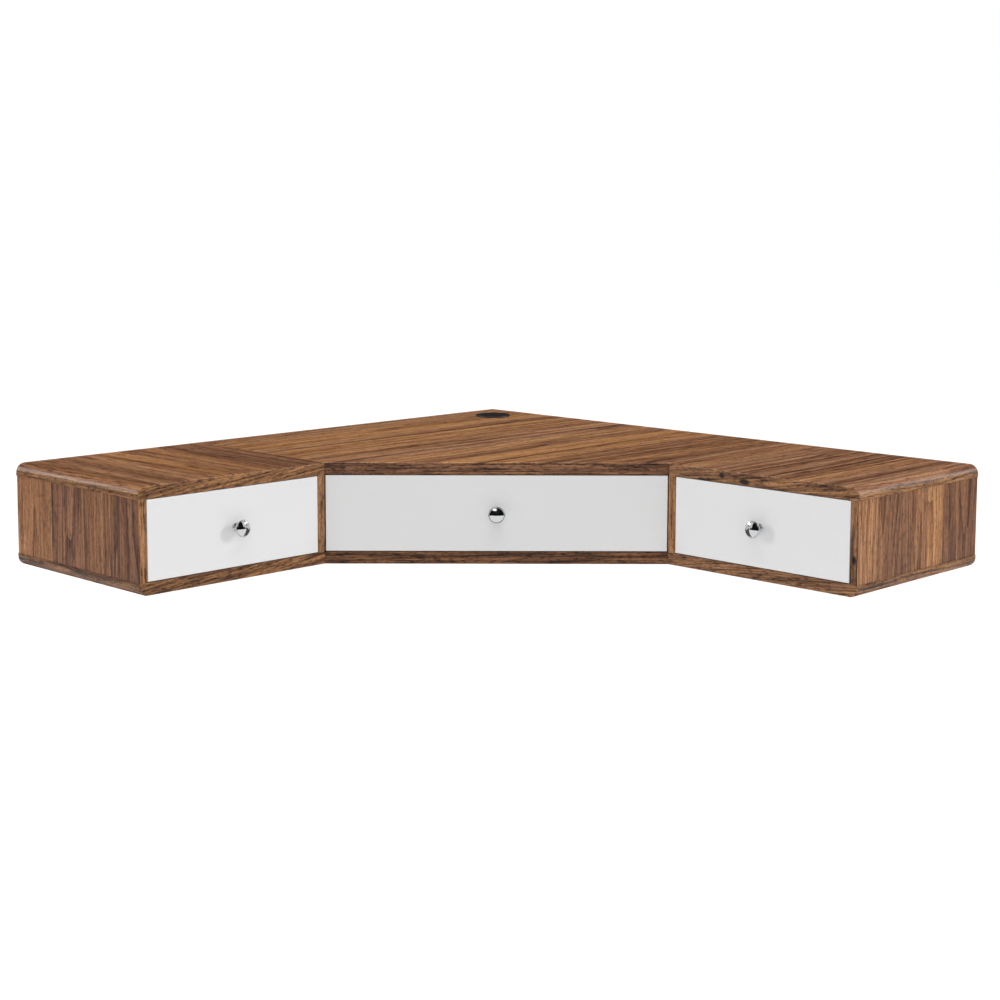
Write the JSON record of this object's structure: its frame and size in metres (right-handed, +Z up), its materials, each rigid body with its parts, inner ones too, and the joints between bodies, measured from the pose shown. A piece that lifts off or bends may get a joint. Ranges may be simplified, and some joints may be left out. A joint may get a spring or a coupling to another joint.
{
  "type": "wall-hung corner desk",
  "caption": "Wall-hung corner desk with walnut-look carcass, diagonal centre front, white inset drawers on roller runners, chrome knobs and a cable grommet.",
  "frame": {"origin": "the room corner, where both wall planes meet, at the height of the desk's underside", "axes": "+Z up; the left wall is the plane X = 0 and the right wall the plane Y = 0; the desk lies in +X and -Y"},
  "size_m": [1, 1, 0.155],
  "materials": {
    "walnut": "satin walnut-look laminate on particle board",
    "white_front": "satin white lacquer on fibreboard",
    "drawer_board": "white melamine on particle board",
    "drawer_panel": "white-faced hardboard",
    "chrome": "polished chrome",
    "black_plastic": "fine satin black",
    "runner_steel": "off-white epoxy coat",
    "nylon": "natural nylon",
    "zinc": "die-cast zinc",
    "fastener_steel": "zinc plated"
  },
  "bodies": {
    "carcass": {"bottom_screws": "fastener_steel", "cable_grommet_sleeve": "black_plastic", "cam_bolts": "fastener_steel", "cam_locks": "zinc", "centre_bottom_board": "walnut", "centre_drawer_left_cabinet_rail": "runner_steel", "centre_drawer_right_cabinet_rail": "runner_steel", "centre_left_back_board": "walnut", "centre_left_partition": "walnut", "centre_left_side": "walnut", "centre_right_back_board": "walnut", "centre_right_partition": "walnut", "centre_right_side": "walnut", "centre_top_board": "walnut", "connector_bolts": "fastener_steel", "left_back_board": "walnut", "left_bottom_board": "walnut", "left_drawer_left_cabinet_rail": "runner_steel", "left_drawer_right_cabinet_rail": "runner_steel", "left_inner_side": "walnut", "left_outer_side": "walnut", "left_top_board": "walnut", "right_back_board": "walnut", "right_bottom_board": "walnut", "right_drawer_left_cabinet_rail": "runner_steel", "right_drawer_right_cabinet_rail": "runner_steel", "right_inner_side": "walnut", "right_outer_side": "walnut", "right_top_board": "walnut"},
    "left_drawer": {"left_drawer_back": "drawer_board", "left_drawer_bottom": "drawer_panel", "left_drawer_front": "white_front", "left_drawer_knob": "chrome", "left_drawer_left_drawer_rail": "runner_steel", "left_drawer_left_side": "drawer_board", "left_drawer_right_drawer_rail": "runner_steel", "left_drawer_right_side": "drawer_board"},
    "right_drawer": {"right_drawer_back": "drawer_board", "right_drawer_bottom": "drawer_panel", "right_drawer_front": "white_front", "right_drawer_knob": "chrome", "right_drawer_left_drawer_rail": "runner_steel", "right_drawer_left_side": "drawer_board", "right_drawer_right_drawer_rail": "runner_steel", "right_drawer_right_side": "drawer_board"},
    "centre_drawer": {"centre_drawer_back": "drawer_board", "centre_drawer_bottom": "drawer_panel", "centre_drawer_front": "white_front", "centre_drawer_knob": "chrome", "centre_drawer_left_drawer_rail": "runner_steel", "centre_drawer_left_side": "drawer_board", "centre_drawer_right_drawer_rail": "runner_steel", "centre_drawer_right_side": "drawer_board"},
    "grommet_cap": {"cable_grommet_cap": "black_plastic"},
    "centre_front_rollers": {"centre_drawer_front_rollers": "nylon"},
    "centre_rear_rollers": {"centre_drawer_rear_rollers": "nylon"},
    "left_front_rollers": {"left_drawer_front_rollers": "nylon"},
    "left_rear_rollers": {"left_drawer_rear_rollers": "nylon"},
    "right_front_rollers": {"right_drawer_front_rollers": "nylon"},
    "right_rear_rollers": {"right_drawer_rear_rollers": "nylon"}
  },
  "joints": [
    {"name": "left_drawer_slide", "type": "slide", "parent": "carcass", "child": "left_drawer", "axis": [1, 0, 0], "range_m": [0, 0.175]},
    {"name": "left_front_roller_turn", "type": "hinge", "parent": "carcass", "child": "left_front_rollers", "pos_m": [0.28, -0.835, 0.0428], "axis": [0, 1, 0], "continuous": true},
    {"name": "left_rear_roller_turn", "type": "hinge", "parent": "left_drawer", "child": "left_rear_rollers", "pos_m": [0.06, -0.835, 0.0428], "axis": [0, 1, 0], "continuous": true},
    {"name": "right_drawer_slide", "type": "slide", "parent": "carcass", "child": "right_drawer", "axis": [0, -1, 0], "range_m": [0, 0.175]},
    {"name": "right_front_roller_turn", "type": "hinge", "parent": "carcass", "child": "right_front_rollers", "pos_m": [0.835, -0.28, 0.0428], "axis": [1, 0, 0], "continuous": true},
    {"name": "right_rear_roller_turn", "type": "hinge", "parent": "right_drawer", "child": "right_rear_rollers", "pos_m": [0.835, -0.06, 0.0428], "axis": [1, 0, 0], "continuous": true},
    {"name": "centre_drawer_slide", "type": "slide", "parent": "carcass", "child": "centre_drawer", "axis": [0.7071, -0.7071, 0], "range_m": [0, 0.3]},
    {"name": "centre_front_roller_turn", "type": "hinge", "parent": "carcass", "child": "centre_front_rollers", "pos_m": [0.46767, -0.46767, 0.0428], "axis": [0.7071, 0.7071, 0], "continuous": true},
    {"name": "centre_rear_roller_turn", "type": "hinge", "parent": "centre_drawer", "child": "centre_rear_rollers", "pos_m": [0.20604, -0.20604, 0.0428], "axis": [0.7071, 0.7071, 0], "continuous": true},
    {"name": "grommet_cap_turn", "type": "hinge", "parent": "carcass", "child": "grommet_cap", "pos_m": [0.0785, -0.0785, 0.152], "axis": [0, 0, 1], "continuous": true}
  ],
  "couplings": [
    {"joint": "left_front_roller_turn", "follows": "left_drawer_slide", "rad_per_m": 105.26},
    {"joint": "left_rear_roller_turn", "follows": "left_drawer_slide", "rad_per_m": 105.26},
    {"joint": "right_front_roller_turn", "follows": "right_drawer_slide", "rad_per_m": 105.26},
    {"joint": "right_rear_roller_turn", "follows": "right_drawer_slide", "rad_per_m": 105.26},
    {"joint": "centre_front_roller_turn", "follows": "centre_drawer_slide", "rad_per_m": 105.26},
    {"joint": "centre_rear_roller_turn", "follows": "centre_drawer_slide", "rad_per_m": 105.26}
  ]
}
